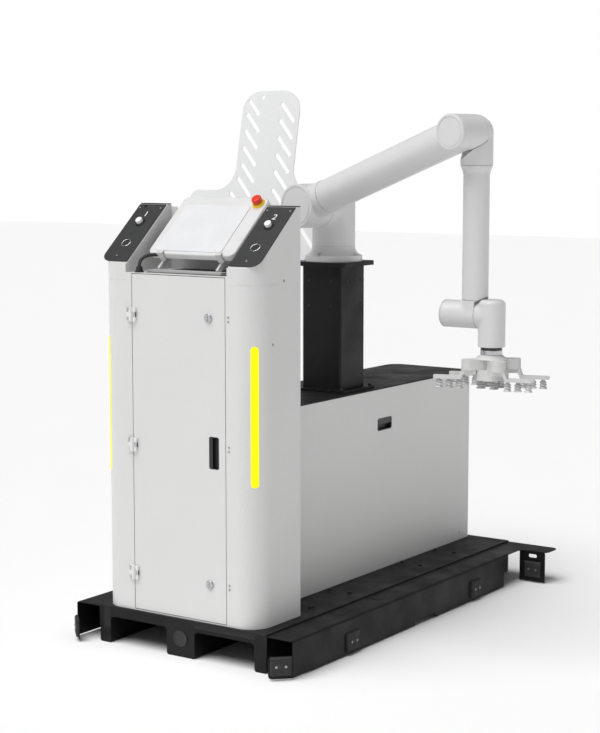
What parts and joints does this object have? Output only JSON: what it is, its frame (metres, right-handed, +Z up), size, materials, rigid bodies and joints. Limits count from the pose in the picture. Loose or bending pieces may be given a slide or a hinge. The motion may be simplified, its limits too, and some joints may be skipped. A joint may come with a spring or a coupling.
{
  "type": "mobile palletising robot station",
  "caption": "Six-axis robot arm with a bellows-cup vacuum gripper, on a column between two cabinets, on a steel base with fork pockets.",
  "frame": {"origin": "centre of the base's footprint, on the floor", "axes": "+X to the right and +Y to the rear when the cabinet door is faced, +Z up"},
  "size_m": [1.9537, 1.991, 2.1809],
  "materials": {
    "cabinet_paint": "fine-textured satin powder coat",
    "robot_paint": "smooth satin paint on castings",
    "base_paint": "textured black powder coat",
    "deck_paint": "dark grey powder coat, scuffed",
    "plug_plastic": "moulded",
    "pad_rubber": "matt moulded rubber",
    "black_steel": "black oxide screws",
    "bright_steel": "zinc plated",
    "light_lens": "lit yellow lens",
    "panel_plastic": "fine grain",
    "bezel_plastic": "moulded",
    "button_white": "moulded",
    "ring_steel": "turned",
    "hinge_paint": "satin",
    "pull_plastic": "moulded",
    "latch_chrome": "polished",
    "pendant_plastic": "fine grain moulded",
    "screen_cover": "smooth",
    "cradle_paint": "satin",
    "cable_jacket": "matt",
    "collar_yellow": "moulded",
    "stop_red": "moulded",
    "controller_grey": "powder coat",
    "pump_metal": "cast",
    "guard_paint": "satin powder coat",
    "drive_metal": "machined",
    "flange_black": "anodised",
    "adapter_metal": "turned",
    "gripper_plastic": "moulded nylon",
    "cup_silicone": "translucent silicone"
  },
  "bodies": {
    "station": {"deck_plate": "deck_paint", "base_frame": "base_paint", "leg_plugs": "plug_plastic", "skirt_left": "base_paint", "skirt_right": "base_paint", "bumper_pads": "pad_rubber", "black_bolts": "black_steel", "bright_screws": "bright_steel", "cabinet_shell": "cabinet_paint", "light_strips": "light_lens", "button_panel_left": "panel_plastic", "button_panel_right": "panel_plastic", "button_bezels": "bezel_plastic", "hinge_leaves": "hinge_paint", "pendant_shell": "pendant_plastic", "pendant_screen": "screen_cover", "pendant_cradle": "cradle_paint", "pendant_cable": "cable_jacket", "cable_gland": "plug_plastic", "estop_collar": "collar_yellow", "controller_unit": "controller_grey", "vacuum_pump": "pump_metal", "guard_plate": "guard_paint", "guard_brackets": "guard_paint", "low_cabinet": "cabinet_paint", "low_cabinet_top": "deck_paint", "low_cabinet_handle": "pull_plastic", "column": "base_paint", "column_top_plate": "base_paint", "robot_base": "robot_paint"},
    "door": {"cabinet_door": "cabinet_paint", "hinge_knuckles": "hinge_paint", "door_pull": "pull_plastic"},
    "upper_latch": {"latch_upper": "latch_chrome"},
    "lower_latch": {"latch_lower": "latch_chrome"},
    "left_start": {"start_button_left": "button_white"},
    "right_start": {"start_button_right": "button_white"},
    "left_ring": {"ring_button_left": "ring_steel"},
    "right_ring": {"ring_button_right": "ring_steel"},
    "estop": {"estop_button": "stop_red"},
    "turret": {"turret_housing": "robot_paint", "turret_drive": "drive_metal"},
    "upper_arm": {"shoulder_casting": "robot_paint", "arm_caps": "robot_paint", "shoulder_drive": "drive_metal", "upper_tube": "robot_paint", "elbow_drive": "drive_metal"},
    "elbow": {"elbow_housing": "robot_paint", "roll_drive": "drive_metal"},
    "forearm": {"forearm_tube": "robot_paint", "wrist_casting": "robot_paint", "wrist_cap": "robot_paint", "wrist_drive": "drive_metal"},
    "wrist": {"wrist_housing": "robot_paint", "flange_drive": "drive_metal"},
    "tool": {"tool_flange": "flange_black", "tool_adapter": "adapter_metal", "gripper_body": "gripper_plastic", "gripper_arms": "gripper_plastic", "suction_cups": "cup_silicone"}
  },
  "joints": [
    {"name": "base_rotation", "type": "hinge", "parent": "station", "child": "turret", "pos_m": [0.045, 0.032, 1.527], "axis": [0, 0, 1], "range_deg": [-15, 90]},
    {"name": "shoulder_tilt", "type": "hinge", "parent": "turret", "child": "upper_arm", "pos_m": [0.045, 0.032, 1.6956], "axis": [-0.1736, -0.9848, 0], "range_deg": [-20, 90]},
    {"name": "elbow_bend", "type": "hinge", "parent": "upper_arm", "child": "elbow", "pos_m": [0.844, -0.10888, 1.98769], "axis": [0.1736, 0.9848, 0], "range_deg": [-140, 10]},
    {"name": "forearm_roll", "type": "hinge", "parent": "elbow", "child": "forearm", "pos_m": [0.83122, -0.18137, 1.86469], "axis": [0, 0, 1], "range_deg": [-180, 180]},
    {"name": "wrist_bend", "type": "hinge", "parent": "forearm", "child": "wrist", "pos_m": [0.85022, -0.18137, 1.29569], "axis": [1, 0, 0], "range_deg": [-95, 95]},
    {"name": "flange_rotation", "type": "hinge", "parent": "wrist", "child": "tool", "pos_m": [0.90421, -0.18137, 1.17569], "axis": [0, 0, 1], "range_deg": [-180, 180]},
    {"name": "door_hinge", "type": "hinge", "parent": "station", "child": "door", "pos_m": [-0.229, -0.9585, 0.8], "axis": [0, 0, -1], "range_deg": [0, 110]},
    {"name": "upper_latch_turn", "type": "hinge", "parent": "door", "child": "upper_latch", "pos_m": [0.135, -0.95, 1.304], "axis": [0, -1, 0], "range_deg": [0, 90]},
    {"name": "lower_latch_turn", "type": "hinge", "parent": "door", "child": "lower_latch", "pos_m": [0.135, -0.95, 0.298], "axis": [0, -1, 0], "range_deg": [0, 90]},
    {"name": "left_start_press", "type": "slide", "parent": "station", "child": "left_start", "axis": [0, 0.6508, -0.7593], "range_m": [0, 0.004], "stiffness_N_per_m": 500, "springref_m": -0.004},
    {"name": "right_start_press", "type": "slide", "parent": "station", "child": "right_start", "axis": [0, 0.6508, -0.7593], "range_m": [0, 0.004], "stiffness_N_per_m": 500, "springref_m": -0.004},
    {"name": "left_ring_press", "type": "slide", "parent": "station", "child": "left_ring", "axis": [0, 0.6508, -0.7593], "range_m": [0, 0.004], "stiffness_N_per_m": 500, "springref_m": -0.004},
    {"name": "right_ring_press", "type": "slide", "parent": "station", "child": "right_ring", "axis": [0, 0.6508, -0.7593], "range_m": [0, 0.004], "stiffness_N_per_m": 500, "springref_m": -0.004},
    {"name": "estop_press", "type": "slide", "parent": "station", "child": "estop", "axis": [0, 0.6508, -0.7593], "range_m": [0, 0.004], "stiffness_N_per_m": 1200, "springref_m": -0.004}
  ]
}
